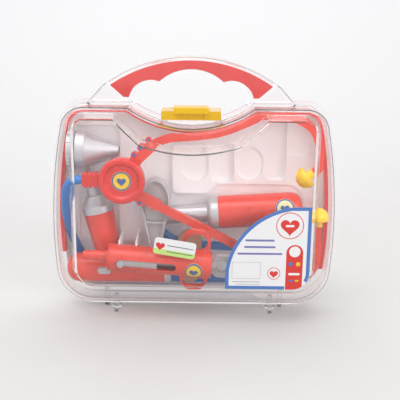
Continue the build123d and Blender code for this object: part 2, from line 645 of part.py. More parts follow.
with BuildPart() as rim_band:
    with BuildSketch(face_at(BAND_Y[1])):
        wall_region(FLANGE_W + WALL + BAND_GAP)
        wall_region(FLANGE_W + WALL + BAND_GAP + BAND_W, mode=Mode.SUBTRACT)
    extrude(amount=BAND_Y[1] - BAND_Y[0])
    add(turned(TORCH, TORCH_ROOM), mode=Mode.SUBTRACT)
    add(turned(SCOPE, WHEEL_ROOM), mode=Mode.SUBTRACT)
    for side, end_z in ((-1, BAND_END_Z[0]), (1, BAND_END_Z[1])):
        block(sorted((0, side * BODY_BULGE_W)), (BAND_Y[0] - OVERCUT, BAND_Y[1] + OVERCUT), (0, end_z),
              mode=Mode.SUBTRACT)
rim_band.part.label = "rim_band"
export_step(rim_band.part, "parts/rim_band.step")

with BuildPart(mode=Mode.PRIVATE) as clip:
    with BuildSketch(Plane.YZ.offset(-LATCH_HALF_L)):
        with BuildLine():
            Polyline((-LATCH_HALF_T, LATCH_Z[0]), (LATCH_HALF_T - LATCH_CHAMFER, LATCH_Z[0]),
                     (LATCH_HALF_T, LATCH_Z[0] + LATCH_CHAMFER), (LATCH_HALF_T, LATCH_Z[1]),
                     (-LATCH_HALF_T, LATCH_Z[1]), close=True)
        make_face()
    extrude(amount=2 * LATCH_HALF_L)
    fillet(clip.edges().filter_by(Axis.Z), radius=LATCH_CORNER_R)
    block((-LATCH_TAB_HALF_L, LATCH_TAB_HALF_L), LATCH_TAB_Y, (LATCH_Z[1] - LATCH_WALL, LATCH_TAB_TOP_Z))
    fillet(clip.edges().filter_by(Axis.X).group_by(Axis.Z)[-1], radius=LATCH_TAB_EDGE_R)
    roof = LATCH_Z[1] - LATCH_WALL
    block((LATCH_WALL - LATCH_HALF_L, LATCH_HALF_L - LATCH_WALL),
          (LATCH_WALL - LATCH_HALF_T, LATCH_HALF_T - LATCH_WALL), (LATCH_Z[0] - OVERCUT, roof),
          mode=Mode.SUBTRACT)
    lug_end = LATCH_HALF_L - LATCH_WALL
    for side in (-1, 1):
        notch = sorted((side * lug_end, side * (lug_end - LUG_T - 2 * LUG_GAP)))
        block(notch, (LATCH_HALF_T - LATCH_WALL - OVERCUT, LATCH_HALF_T + OVERCUT),
              (LATCH_Z[0] - OVERCUT, roof), mode=Mode.SUBTRACT)
    block((-LATCH_RECESS_HALF_L, LATCH_RECESS_HALF_L),
          (-LATCH_HALF_T - OVERCUT, -LATCH_HALF_T + LATCH_RECESS_DEPTH), LATCH_RECESS_Z, mode=Mode.SUBTRACT)
    rod((-LATCH_HALF_L - OVERCUT, LATCH_PIN_Y, LATCH_PIN_Z), (1, 0, 0), LATCH_PIN_R + PIN_FIT,
        2 * (LATCH_HALF_L + OVERCUT), mode=Mode.SUBTRACT)
with BuildPart() as latch:
    add(clip.part.moved(Location((HANDLE_X, 0, 0))))
latch.part.label = "latch"
export_step(latch.part, "parts/latch.step")

with BuildPart() as latch_pin:
    rod((HANDLE_X - LATCH_HALF_L, LATCH_PIN_Y, LATCH_PIN_Z), (1, 0, 0), LATCH_PIN_R, 2 * LATCH_HALF_L)
latch_pin.part.label = "latch_pin"
export_step(latch_pin.part, "parts/latch_pin.step")

with BuildPart() as inner_tray:
    with BuildSketch(face_at(TRAY_BACK_Y)):
        wall_region(TRAY_INSET)
    extrude(amount=TRAY_T)
    with BuildSketch(face_at(TRAY_Y)):
        wall_region(TRAY_INSET)
        wall_region(TRAY_INSET + RIM_LIP_T, mode=Mode.SUBTRACT)
    extrude(amount=TRAY_Y - BAND_Y[1])
    with BuildSketch(face_at(TROUGH_FLOOR_Y + TRAY_T)):
        wall_region(TROUGH_INSET - TRAY_T)
        with Locations((0, (TROUGH_TOP_Z + TRAY_T) / 2)):
            Rectangle(2 * BODY_BULGE_W, TROUGH_TOP_Z + TRAY_T, mode=Mode.INTERSECT)
    extrude(amount=TROUGH_FLOOR_Y + TRAY_T - TRAY_Y)
    for x, z, width, height, corner, floor_y in POCKETS:
        slab(x, z, width + 2 * TRAY_T, height + 2 * TRAY_T, corner + TRAY_T, floor_y + TRAY_T, TRAY_Y)
    with BuildSketch(face_at(TROUGH_FLOOR_Y)):
        wall_region(TROUGH_INSET)
        with Locations((0, TROUGH_TOP_Z / 2)):
            Rectangle(2 * BODY_BULGE_W, TROUGH_TOP_Z, mode=Mode.INTERSECT)
    extrude(amount=TROUGH_FLOOR_Y - TRAY_Y, mode=Mode.SUBTRACT)
    for x, z, width, height, corner, floor_y in POCKETS:
        slab(x, z, width, height, corner, floor_y, TRAY_Y, mode=Mode.SUBTRACT)
    add(turned(SCOPE, WHEEL_ROOM), mode=Mode.SUBTRACT)
    for x in CRADLE_X:
        block((x - RIB_SHEET / 2, x + RIB_SHEET / 2), (TORCH_Y, TROUGH_FLOOR_Y + TRAY_T / 2), CRADLE_Z)
    add(turned(TORCH, [(TORCH_LEFT_X, 0), (TORCH_LEFT_X, TORCH_R), (0, TORCH_R), (0, 0)]),
        mode=Mode.SUBTRACT)
    for x in SADDLE_X:
        block((x - RIB_SHEET / 2, x + RIB_SHEET / 2), (SYRINGE_START[1], TRAY_Y + TRAY_T / 2), SADDLE_Z)
    add(turned(SYRINGE, [(0, 0), (0, BARREL_R), (BARREL_L, BARREL_R), (BARREL_L, 0)]), mode=Mode.SUBTRACT)
    for x, z, width, height, corner, front_y, back_y in FORMS:
        slab(x, z, width, height, corner, back_y, front_y)
    for x, z, width, height, corner, front_y, back_y in FORMS:
        slab(x, z, width - 2 * TRAY_T, height - 2 * TRAY_T, corner - TRAY_T / 2, back_y, front_y + TRAY_T,
             mode=Mode.SUBTRACT)
    x, z, width, height, corner, floor_y = RECESS
    slab(x, z, width + 2 * TRAY_T, height + 2 * TRAY_T, corner + TRAY_T, floor_y + TRAY_T, FORMS[0][5])
    slab(x, z, width, height, corner, floor_y, FORMS[0][5] - OVERCUT, mode=Mode.SUBTRACT)
inner_tray.part.label = "inner_tray"
export_step(inner_tray.part, "parts/inner_tray.step")

with BuildPart() as label:
    with BuildSketch(face_at(-WINDOW_DEPTH)) as outline:
        with BuildLine():
            arc = ThreePointArc((LABEL_LEFT_X, LABEL_LEFT_TOP_Z), LABEL_ARC_MID, (LABEL_ARC_X, LABEL_TOP_Z))
            Polyline(arc @ 1, (LABEL_RIGHT_X, LABEL_TOP_Z), (LABEL_RIGHT_X, LABEL_BOTTOM_Z),
                     (LABEL_LEFT_X, LABEL_BOTTOM_Z), arc @ 0)
        make_face()
        fillet(outline.vertices().group_by(Axis.Y)[0].sort_by(Axis.X)[-1], radius=LABEL_CORNER_R)
    extrude(amount=LABEL_T)
label.part.label = "label"
export_step(label.part, "parts/label.step")

with BuildPart() as tag_sticker:
    with BuildSketch(face_at(-WINDOW_DEPTH)):
        with Locations(Location((TAG[0], TAG[1], 0), (0, 0, TAG[4]))):
            RectangleRounded(TAG[2], TAG[3], TAG_CORNER_R)
    extrude(amount=LABEL_T)
tag_sticker.part.label = "tag_sticker"
export_step(tag_sticker.part, "parts/tag_sticker.step")

# ---------------------------------------------------------------- stethoscope
CHEST_L = CHEST_Y[1] - CHEST_Y[0]
DISH_FLOOR = CHEST_L - CHEST_RECESS
RIBS_Y = (NIPPLE_C[0] - NIPPLE_SIZE[1] / 2, NIPPLE_C[0] + NIPPLE_SIZE[1] / 2)
RIBS_Z = (NIPPLE_C[1] - NIPPLE_SIZE[0] / 2, NIPPLE_C[1] + NIPPLE_SIZE[0] / 2)
with BuildPart(mode=Mode.PRIVATE) as nipple:
    block((NIPPLE_TIP_X, NIPPLE_ROOT_X), (RIBS_Y[0] + NIPPLE_GROOVE, RIBS_Y[1] - NIPPLE_GROOVE),
          (RIBS_Z[0] + NIPPLE_GROOVE, RIBS_Z[1] - NIPPLE_GROOVE))
    for x in NIPPLE_RIB_X:
        block((x - NIPPLE_RIB_L / 2, x + NIPPLE_RIB_L / 2), RIBS_Y, RIBS_Z)
    fillet(nipple.edges().filter_by(Axis.X), radius=NIPPLE_GROOVE)
    rod((NIPPLE_TIP_X, NIPPLE_C[0], NIPPLE_C[1]), (-1, 0, 0), BARB_R, BARB_L)

with BuildPart() as chest_piece:
    add(turned(CHEST, [(DIAPHRAGM_T, 0), (DIAPHRAGM_T, DIAPHRAGM_R), (0, DIAPHRAGM_R),
                       (0, CHEST_R, CHEST_DOME_R / 2), (CHEST_L, CHEST_R, CHEST_DOME_R),
                       (CHEST_L, CHEST_RECESS_R + CHEST_RECESS), (DISH_FLOOR, CHEST_RECESS_R),
                       (DISH_FLOOR, 0)]))
    add(nipple.part)
chest_piece.part.label = "chest_piece"
export_step(chest_piece.part, "parts/chest_piece.step")

with BuildPart() as diaphragm:
    rod((CHEST_C[0], CHEST_Y[1], CHEST_C[1]), (0, -1, 0), DIAPHRAGM_R, DIAPHRAGM_T)
diaphragm.part.label = "diaphragm"
export_step(diaphragm.part, "parts/diaphragm.step")

with BuildPart() as chest_sticker:
    rod((CHEST_C[0], CHEST_Y[1] - DISH_FLOOR, CHEST_C[1]), (0, -1, 0), CHEST_STICKER_R, STICKER_T)
chest_sticker.part.label = "chest_sticker"
export_step(chest_sticker.part, "parts/chest_sticker.step")

YOKE_Y = (ARM_Y[1] + LAP_GAP, ARM_Y[1] + LAP_GAP + YOKE_T)
BARB = Vector(*YOKE_BARB[1]) - Vector(*YOKE_BARB[0])
with BuildPart() as headset_yoke:
    slab((PIVOT[0] + YOKE_LEFT_X) / 2, YOKE_PLATE_Z, PIVOT[0] - YOKE_LEFT_X, YOKE_PLATE_H, EDGE_L,
         YOKE_Y[1], YOKE_Y[0])
    rod((PIVOT[0], YOKE_Y[1], PIVOT[1]), (0, -1, 0), HUB_R, YOKE_T)
    rod(YOKE_BARB[0], BARB, YOKE_BOSS_R, BARB.length - BARB_L)
    rod(YOKE_BARB[0], BARB, BARB_R, BARB.length)
    rod((PIVOT[0], YOKE_Y[1] + OVERCUT, PIVOT[1]), (0, -1, 0), PIVOT_R + PIN_FIT, YOKE_T + 2 * OVERCUT,
        mode=Mode.SUBTRACT)
    block((PIVOT[0] - 2 * HUB_R, PIVOT[0] + 2 * HUB_R), (ARM_Y[0], YOKE_Y[0]),
          (PIVOT[1] - 2 * HUB_R, PIVOT[1] + 2 * HUB_R), mode=Mode.SUBTRACT)
headset_yoke.part.label = "headset_yoke"
export_step(headset_yoke.part, "parts/headset_yoke.step")

with BuildPart() as headset_pin:
    rod((PIVOT[0], YOKE_Y[1], PIVOT[1]), (0, -1, 0), PIVOT_R, YOKE_Y[1] - ARM_Y[0] + LAP_GAP)
    rod((PIVOT[0], ARM_Y[0] - LAP_GAP, PIVOT[1]), (0, -1, 0), PIN_HEAD_R, ARM_Y[0] - LAP_GAP - CHEST_Y[1])
headset_pin.part.label = "headset_pin"
export_step(headset_pin.part, "parts/headset_pin.step")


def bend_radii(stops, largest):
    """Largest comfortable bend at each corner of a route."""
    radii = []
    for before, corner, after in zip(stops, stops[1:], stops[2:]):
        incoming = (corner - before).normalized()
        outgoing = (after - corner).normalized()
        half_turn = math.radians(incoming.get_angle(outgoing)) / 2
        run = min((corner - before).length, (after - corner).length)
        radii.append(min(BEND_SHARE * run / math.tan(half_turn), largest))
    return radii


def arm(path, pegs, notches, notch_r, hub_y, free_y):
    """One headset arm: bent bar, lobes for its pegs, notches and a half-thick hub."""
    bends = bend_radii([Vector(x, z) for x, z in path], ARM_MAX_BEND)
    with BuildPart(mode=Mode.PRIVATE) as bar:
        with BuildSketch(face_at(ARM_Y[1])):
            with BuildLine():
                FilletPolyline(*path, radius=bends)
            trace(line_width=ARM_W)
        extrude(amount=ARM_Y[1] - ARM_Y[0])
        with BuildSketch(face_at(ARM_Y[1])):
            with BuildLine():
                Polyline(*path[:3])
            trace(line_width=ARM_ROOT_W)
            with Locations(*pegs):
                Circle(LOBE_R)
        extrude(amount=ARM_Y[1] - ARM_Y[0])
        for x, z in notches:
            rod((x, ARM_Y[1] + OVERCUT, z), (0, -1, 0), notch_r, ARM_Y[1] - ARM_Y[0] + 2 * OVERCUT,
                mode=Mode.SUBTRACT)
        rod((PIVOT[0], free_y[1], PIVOT[1]), (0, -1, 0), HUB_R + LAP_GAP * 2, free_y[1] - free_y[0],
            mode=Mode.SUBTRACT)
        rod((PIVOT[0], hub_y[1], PIVOT[1]), (0, -1, 0), HUB_R, hub_y[1] - hub_y[0])
        through = ARM_Y[1] - ARM_Y[0] + 2 * OVERCUT
        rod((PIVOT[0], ARM_Y[1] + OVERCUT, PIVOT[1]), (0, -1, 0), PIVOT_R + PIVOT_CLEARANCE, through,
            mode=Mode.SUBTRACT)
        for x, z in pegs:
            rod((x, ARM_Y[1] + OVERCUT, z), (0, -1, 0), PEG_R, through, mode=Mode.SUBTRACT)
        end = Vector(path[-1][0], ARM_C_Y, path[-1][1])
        way = (end - Vector(path[-2][0], ARM_C_Y, path[-2][1])).normalized()
        rod(end - way * OVERCUT, way, EAR_PIN_R, EAR_PIN_L + OVERCUT)
    return bar.part


def ear_tip(path):
    """Soft ear tip, a neck and a dome, on the end of an arm."""
    end = Vector(path[-1][0], ARM_C_Y, path[-1][1])
    way = (end - Vector(path[-2][0], ARM_C_Y, path[-2][1])).normalized()
    place = Plane(origin=end, x_dir=way, z_dir=(0, -1, 0))
    return turned(place, [(0, EAR_PIN_R), (0, EAR_NECK_R), (EAR_NECK_L, EAR_NECK_R, EDGE_M),
                          (EAR_NECK_L, EAR_R, EAR_RIM_R), *EAR_FORM, (EAR_FORM[-1][0], 0), (EAR_PIN_L, 0),
                          (EAR_PIN_L, EAR_PIN_R)])


with BuildPart() as upper_arm:
    add(arm(UPPER_ARM, UPPER_PEGS, UPPER_NOTCHES, NOTCH_R[0], (ARM_Y[0], ARM_C_Y - LAP_GAP / 2),
            (ARM_C_Y - LAP_GAP / 2, ARM_Y[1] + OVERCUT)))
upper_arm.part.label = "upper_arm"
export_step(upper_arm.part, "parts/upper_arm.step")

with BuildPart() as lower_arm:
    add(arm(LOWER_ARM, LOWER_PEGS, LOWER_NOTCHES, NOTCH_R[1], (ARM_C_Y + LAP_GAP / 2, ARM_Y[1]),
            (ARM_Y[0] - OVERCUT, ARM_C_Y + LAP_GAP / 2)))
lower_arm.part.label = "lower_arm"
export_step(lower_arm.part, "parts/lower_arm.step")

with BuildPart() as upper_arm_pegs:
    for x, z in UPPER_PEGS:
        rod((x, ARM_Y[1], z), (0, -1, 0), PEG_R, ARM_Y[1] - ARM_Y[0] + PEG_PROUD)
upper_arm_pegs.part.label = "upper_arm_pegs"
export_step(upper_arm_pegs.part, "parts/upper_arm_pegs.step")

with BuildPart() as lower_arm_peg:
    for x, z in LOWER_PEGS:
        rod((x, ARM_Y[1], z), (0, -1, 0), PEG_R, ARM_Y[1] - ARM_Y[0] + PEG_PROUD)
lower_arm_peg.part.label = "lower_arm_peg"
export_step(lower_arm_peg.part, "parts/lower_arm_peg.step")

with BuildPart() as upper_ear_tip:
    add(ear_tip(UPPER_ARM))
upper_ear_tip.part.label = "upper_ear_tip"
export_step(upper_ear_tip.part, "parts/upper_ear_tip.step")

with BuildPart() as lower_ear_tip:
    add(ear_tip(LOWER_ARM))
lower_ear_tip.part.label = "lower_ear_tip"
export_step(lower_ear_tip.part, "parts/lower_ear_tip.step")

HOSE_END = Vector(*YOKE_BARB[1]) - BARB.normalized() * BARB_L
HOSE_STOPS = [Vector(*point) for point in HOSE_PATH]
HOSE_STOPS += [HOSE_END + BARB.normalized() * HOSE_END_L, HOSE_END]


HOSE_BENDS = bend_radii(HOSE_STOPS, HOSE_MAX_BEND)
print("hose bend radii", [round(radius, 1) for radius in HOSE_BENDS])
with BuildPart() as hose:
    with BuildLine() as route:
        FilletPolyline(*HOSE_STOPS, radius=HOSE_BENDS)
    with BuildSketch(Plane(HOSE_STOPS[0], z_dir=HOSE_STOPS[1] - HOSE_STOPS[0])):
        Circle(HOSE_R)
        Circle(HOSE_BORE_R, mode=Mode.SUBTRACT)
    sweep(path=route.wires()[0])
hose.part.label = "hose"
export_step(hose.part, "parts/hose.step")
print("hose length", round(route.wires()[0].length, 1))

# ---------------------------------------------------------------- otoscope
with BuildPart() as otoscope_handle:
    add(turned(GRIP, [(0, 0), (0, GRIP_R[0], GRIP_END_R), (GRIP_H, GRIP_R[1], EDGE_M), (GRIP_H, 0)]))
otoscope_handle.part.label = "otoscope_handle"
export_step(otoscope_handle.part, "parts/otoscope_handle.step")

with BuildPart() as otoscope_neck:
    add(turned(GRIP, [(GRIP_H, 0), (GRIP_H, GRIP_NECK_R), (GRIP_H + DOME_BAND_L, GRIP_NECK_R, DOME_EDGE_R),
                      (GRIP_H + DOME_H, STEM_R + DOME_CUFF, EDGE_L), (GRIP_H + DOME_H, 0)]))
    rod(STEM_FOOT, STEM, STEM_R, STEM.length)
    add(turned(SCOPE, [(SCOPE_BODY_X[0], 0), (SCOPE_BODY_X[0], SCOPE_BODY_R), (SCOPE_BODY_X[1], SCOPE_BODY_R),
                       (SCOPE_BODY_X[1], SCOPE_CONE_R[0]), (SCOPE_CONE_TIP_X, SCOPE_CONE_R[1]),
                       (SCOPE_CONE_TIP_X, 0)]), mode=Mode.SUBTRACT)
otoscope_neck.part.label = "otoscope_neck"
export_step(otoscope_neck.part, "parts/otoscope_neck.step")

with BuildPart() as otoscope_head:
    add(turned(SCOPE, [(SCOPE_BODY_X[0] - SCOPE_AXLE_L, 0), (SCOPE_BODY_X[0] - SCOPE_AXLE_L, SCOPE_AXLE_R),
                       (SCOPE_BODY_X[0], SCOPE_AXLE_R), (SCOPE_BODY_X[0], SCOPE_BODY_R, EDGE_L),
                       (SCOPE_BODY_X[1], SCOPE_BODY_R, EDGE_S), (SCOPE_BODY_X[1], 0)]))
otoscope_head.part.label = "otoscope_head"
export_step(otoscope_head.part, "parts/otoscope_head.step")

WHEEL_L = SCOPE_WHEEL_X[1] - SCOPE_WHEEL_X[0]
with BuildPart() as otoscope_wheel:
    add(turned(SCOPE, [(SCOPE_WHEEL_X[0], 0), (SCOPE_WHEEL_X[0], SCOPE_WHEEL_R, EDGE_M),
                       (SCOPE_WHEEL_X[1], SCOPE_WHEEL_R, EDGE_M), (SCOPE_WHEEL_X[1], 0)]))
    with Locations(Plane((SCOPE_WHEEL_X[0] + WHEEL_L / 2, *SCOPE_C), x_dir=(0, 0, 1),
                         z_dir=(1, 0, 0)).location):
        with PolarLocations(SCOPE_WHEEL_R - SCOPE_RIB_SINK, SCOPE_RIBS):
            Box(2 * (SCOPE_RIB_H + SCOPE_RIB_SINK), SCOPE_RIB_W, WHEEL_L - 2 * SCOPE_RIB_INSET)
    rod((SCOPE_WHEEL_X[1] + OVERCUT, *SCOPE_C), (-1, 0, 0), SCOPE_AXLE_R + SCOPE_AXLE_CLEARANCE,
        OVERCUT + SCOPE_AXLE_L + SCOPE_AXLE_ROOM, mode=Mode.SUBTRACT)
otoscope_wheel.part.label = "otoscope_wheel"
export_step(otoscope_wheel.part, "parts/otoscope_wheel.step")

with BuildPart() as otoscope_cone:
    add(turned(SCOPE, [(SCOPE_BODY_X[1], SCOPE_CONE_R[0] - SCOPE_CONE_WALL),
                       (SCOPE_BODY_X[1], SCOPE_CONE_R[0]), (SCOPE_CONE_TIP_X, SCOPE_CONE_R[1]),
                       (SCOPE_CONE_TIP_X, SCOPE_CONE_R[1] - SCOPE_CONE_WALL)]))
otoscope_cone.part.label = "otoscope_cone"
export_step(otoscope_cone.part, "parts/otoscope_cone.step")

# ---------------------------------------------------------------- reflex hammer
with BuildPart(mode=Mode.PRIVATE) as head_block:
    with BuildSketch(face_at(HEAD_Y + HEAD_HALF_T)):
        head_region()
    extrude(amount=2 * HEAD_HALF_T)

with BuildPart() as hammer_head:
    add(head_block.part)
    with BuildSketch(face_at(HEAD_Y - HEAD_HALF_T + HEAD_RECESS)):
        head_region(HEAD_RIM)
        with Locations((HEAD_C[0], HEAD_MID_Z)):
            Rectangle(HEAD_W, HEAD_RIM, mode=Mode.SUBTRACT)
    extrude(amount=HEAD_RECESS, mode=Mode.SUBTRACT)
hammer_head.part.label = "hammer_head"
export_step(hammer_head.part, "parts/hammer_head.step")

NECK_END = HAMMER_JOINT_L - HAMMER_COLLAR_L
with BuildPart() as hammer_neck:
    add(turned(HAMMER, [(NECK_END - HAMMER_NECK_L, 0), (NECK_END - HAMMER_NECK_L, HAMMER_NECK_R),
                        (NECK_END, HAMMER_NECK_R), (NECK_END, 0)]))
    add(head_block.part, mode=Mode.SUBTRACT)
    block((HEAD_C[0] - HEAD_W, HEAD_C[0] + HEAD_W), (HEAD_Y - HEAD_HALF_T - HEAD_W, HEAD_Y - HEAD_HALF_T),
          (HEAD_TIP[1], HEAD_TOP_Z), mode=Mode.SUBTRACT)
hammer_neck.part.label = "hammer_neck"
export_step(hammer_neck.part, "parts/hammer_neck.step")

with BuildPart() as hammer_collar:
    add(turned(HAMMER, [(-HAMMER_COLLAR_L, HAMMER_NECK_R),
                        (-HAMMER_COLLAR_L, HAMMER_HANDLE_R, HAMMER_COLLAR_R),
                        (0, HAMMER_HANDLE_R, EDGE_S), (0, HAMMER_NECK_R)]))
hammer_collar.part.label = "hammer_collar"
export_step(hammer_collar.part, "parts/hammer_collar.step")

with BuildPart() as hammer_handle:
    add(turned(HAMMER, [(NECK_END, 0), (NECK_END, HAMMER_NECK_R), (0, HAMMER_NECK_R),
                        (0, HAMMER_HANDLE_R, EDGE_S), (HAMMER_HANDLE_L, HAMMER_HANDLE_R, HAMMER_END_R),
                        (HAMMER_HANDLE_L, 0)]))
hammer_handle.part.label = "hammer_handle"
export_step(hammer_handle.part, "parts/hammer_handle.step")


def curved_sticker(place, along, turn, radius, core_radius):
    """Round sticker lying on a cylinder about the plane's X, turned up from the plane's front."""
    angle = math.radians(turn)
    way = place.z_dir * math.cos(angle) + place.y_dir * math.sin(angle)
    with BuildPart(mode=Mode.PRIVATE) as skin:
        add(turned(place, [(along - 2 * radius, core_radius), (along - 2 * radius, core_radius + STICKER_T),
                           (along + 2 * radius, core_radius + STICKER_T), (along + 2 * radius, core_radius)]))
        rod(place.origin + place.x_dir * along, way, radius, 2 * core_radius, mode=Mode.INTERSECT)
    return skin.part


with BuildPart() as hammer_sticker:
    add(curved_sticker(HAMMER, HAMMER_STICKER[0], HAMMER_STICKER[1], HAMMER_STICKER[2], HAMMER_HANDLE_R))
hammer_sticker.part.label = "hammer_sticker"
export_step(hammer_sticker.part, "parts/hammer_sticker.step")

# ---------------------------------------------------------------- syringe
BORE_R = BARREL_R - BARREL_WALL
PLATE_C = sum(PLATE_X) / 2
with BuildPart() as syringe_barrel:
    with BuildSketch(SYRINGE.offset(-PLATE_T / 2)):
        with Locations((PLATE_C, (PLATE_REACH[1] - PLATE_REACH[0]) / 2)):
            RectangleRounded(PLATE_X[1] - PLATE_X[0], sum(PLATE_REACH), PLATE_CORNER_R)
        for low, high, corner in (LOOP_LOW, LOOP_HIGH):
            with Locations((PLATE_C, (low + high) / 2)):
                RectangleRounded(LOOP_W, high - low, corner, mode=Mode.SUBTRACT)
    extrude(amount=PLATE_T)
    add(turned(SYRINGE, [(0, 0), (0, BARREL_R), (BARREL_L, BARREL_R, EDGE_S), (BARREL_L, 0)]))
    add(turned(SYRINGE, [(-OVERCUT, 0), (-OVERCUT, BORE_R), (BARREL_L - BARREL_END_T, BORE_R),
                         (BARREL_L - BARREL_END_T, PLUNGER_R + PLUNGER_CLEARANCE),
                         (BARREL_L + OVERCUT, PLUNGER_R + PLUNGER_CLEARANCE), (BARREL_L + OVERCUT, 0)]),
        mode=Mode.SUBTRACT)
    with BuildSketch(SYRINGE.offset(BORE_R / 2)):
        with Locations(((SLOT_X[0] + SLOT_X[1]) / 2, 0)):
            SlotOverall(SLOT_X[1] - SLOT_X[0], SLOT_W)
    extrude(amount=BARREL_R, mode=Mode.SUBTRACT)
syringe_barrel.part.label = "syringe_barrel"
export_step(syringe_barrel.part, "parts/syringe_barrel.step")

with BuildPart() as syringe_nose:
    add(turned(SYRINGE, [(NOSE_SPIGOT_L, NOSE_BORE_R), (NOSE_SPIGOT_L, BORE_R), (0, BORE_R),
                         (0, COLLAR_R, EDGE_S), (-COLLAR_L, COLLAR_R, EDGE_L), (-COLLAR_L, NOSE_R[0]),
                         (-COLLAR_L - NOSE_L, NOSE_R[1], EDGE_M), (-COLLAR_L - NOSE_L, NOSE_BORE_R)]))
syringe_nose.part.label = "syringe_nose"
export_step(syringe_nose.part, "parts/syringe_nose.step")

RING_X = BARREL_L + THUMB_GAP + THUMB_RING[0] / 2
ROD_END_X = RING_X - THUMB_HOLE[0] / 2 - ROD_END_GAP
PISTON_END_X = PISTON_X + PISTON_L
with BuildPart() as syringe_plunger:
    add(turned(SYRINGE, [(PISTON_X, 0), (PISTON_X, BORE_R - PISTON_GAP),
                         (PISTON_END_X, BORE_R - PISTON_GAP), (PISTON_END_X, PLUNGER_R),
                         (ROD_END_X, PLUNGER_R, EDGE_M), (ROD_END_X, 0)]))
    with BuildSketch(SYRINGE.offset(-THUMB_T / 2)):
        with Locations((RING_X, 0)):
            RectangleRounded(*THUMB_RING)
    extrude(amount=THUMB_T)
    with BuildSketch(SYRINGE.offset(-THUMB_T)):
        with Locations((RING_X, 0)):
            RectangleRounded(*THUMB_HOLE)
    extrude(amount=2 * THUMB_T, mode=Mode.SUBTRACT)
    with BuildSketch(SYRINGE.offset(BORE_R / 2)):
        with Locations((SLIDER_X, 0)):
            Circle(SLIDER_R)
    extrude(amount=BARREL_R - BORE_R / 2 + SLIDER_OUT)
syringe_plunger.part.label = "syringe_plunger"
export_step(syringe_plunger.part, "parts/syringe_plunger.step")

with BuildPart() as syringe_sticker:
    add(curved_sticker(SYRINGE, SYRINGE_STICKER_X, -STICKER_TURN, SYRINGE_STICKER_R, BARREL_R))
syringe_sticker.part.label = "syringe_sticker"
export_step(syringe_sticker.part, "parts/syringe_sticker.step")

# ---------------------------------------------------------------- penlight
TORCH_BORE = TORCH_R - TORCH_WALL
TORCH_BORE_X = TORCH_LEFT_X + TORCH_END_R + TORCH_WALL
RING_END_X = TORCH_RIGHT_X + LENS_RING_L
LENS_X = RING_END_X - REFLECTOR_T - LENS_T
with BuildPart() as torch_body:
    add(turned(TORCH, [(TORCH_LEFT_X, 0), (TORCH_LEFT_X, TORCH_R, TORCH_END_R), (TORCH_RIGHT_X, TORCH_R),
                       (TORCH_RIGHT_X, TORCH_BORE), (TORCH_BORE_X, TORCH_BORE, EDGE_L), (TORCH_BORE_X, 0)]))
torch_body.part.label = "torch_body"
export_step(torch_body.part, "parts/torch_body.step")

with BuildPart() as torch_switch:
    slab(*SWITCH, SWITCH_Y[1], SWITCH_Y[0])
    fillet(torch_switch.faces().sort_by(Axis.Y)[0].edges(), radius=EDGE_M)
    rod((TORCH_LEFT_X, TORCH_Y, TORCH_Z), (1, 0, 0), TORCH_R, TORCH_RIGHT_X - TORCH_LEFT_X,
        mode=Mode.SUBTRACT)
torch_switch.part.label = "torch_switch"
export_step(torch_switch.part, "parts/torch_switch.step")

with BuildPart() as torch_lens_ring:
    add(turned(TORCH, [(TORCH_RIGHT_X - LENS_SPIGOT_L, LENS_OPEN_R),
                       (TORCH_RIGHT_X - LENS_SPIGOT_L, TORCH_BORE),
                       (TORCH_RIGHT_X, TORCH_BORE), (TORCH_RIGHT_X, TORCH_R), (RING_END_X, TORCH_R, EDGE_M),
                       (RING_END_X, LENS_OPEN_R), (LENS_X + LENS_T, LENS_OPEN_R), (LENS_X + LENS_T, LENS_R),
                       (LENS_X - REFLECTOR_T, LENS_R), (LENS_X - REFLECTOR_T, LENS_OPEN_R)]))
torch_lens_ring.part.label = "torch_lens_ring"
export_step(torch_lens_ring.part, "parts/torch_lens_ring.step")

with BuildPart() as torch_reflector:
    add(turned(TORCH, [(LENS_X, LENS_R), (LENS_X - REFLECTOR_T, LENS_R), (LENS_X - REFLECTOR_T, LENS_OPEN_R),
                       (LENS_X - REFLECTOR[1], REFLECTOR[0]), (LENS_X - REFLECTOR[1], 0),
                       (LENS_X - REFLECTOR[1] + REFLECTOR_T, 0),
                       (LENS_X - REFLECTOR[1] + REFLECTOR_T, REFLECTOR[0] - REFLECTOR_T),
                       (LENS_X, LENS_OPEN_R - REFLECTOR_T)]))
torch_reflector.part.label = "torch_reflector"
export_step(torch_reflector.part, "parts/torch_reflector.step")

with BuildPart() as torch_lens:
    rod((LENS_X, TORCH_Y, TORCH_Z), (1, 0, 0), LENS_R, LENS_T)
torch_lens.part.label = "torch_lens"
export_step(torch_lens.part, "parts/torch_lens.step")

# ---------------------------------------------------------------- plaster
with BuildPart() as plaster_strip:
    slab(STRIP_C[0], STRIP_C[1], STRIP_W, STRIP_L, STRIP_END_R, STRIP_Y, STRIP_Y - STRIP_T)
    slab(STRIP_C[0], STRIP_C[1], STRIP_PAD[0], STRIP_PAD[1], EDGE_L, STRIP_Y - STRIP_T,
         STRIP_Y - STRIP_T - STRIP_PAD[2])
plaster_strip.part.label = "plaster_strip"
export_step(plaster_strip.part, "parts/plaster_strip.step")
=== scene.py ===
"""Looks, light and camera for the clear toy doctor case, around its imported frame.

Places are in millimetres unless a line says metres.
"""

import math

import bmesh
import bpy
from mathutils import Matrix, Vector
from mathutils.geometry import tessellate_polygon


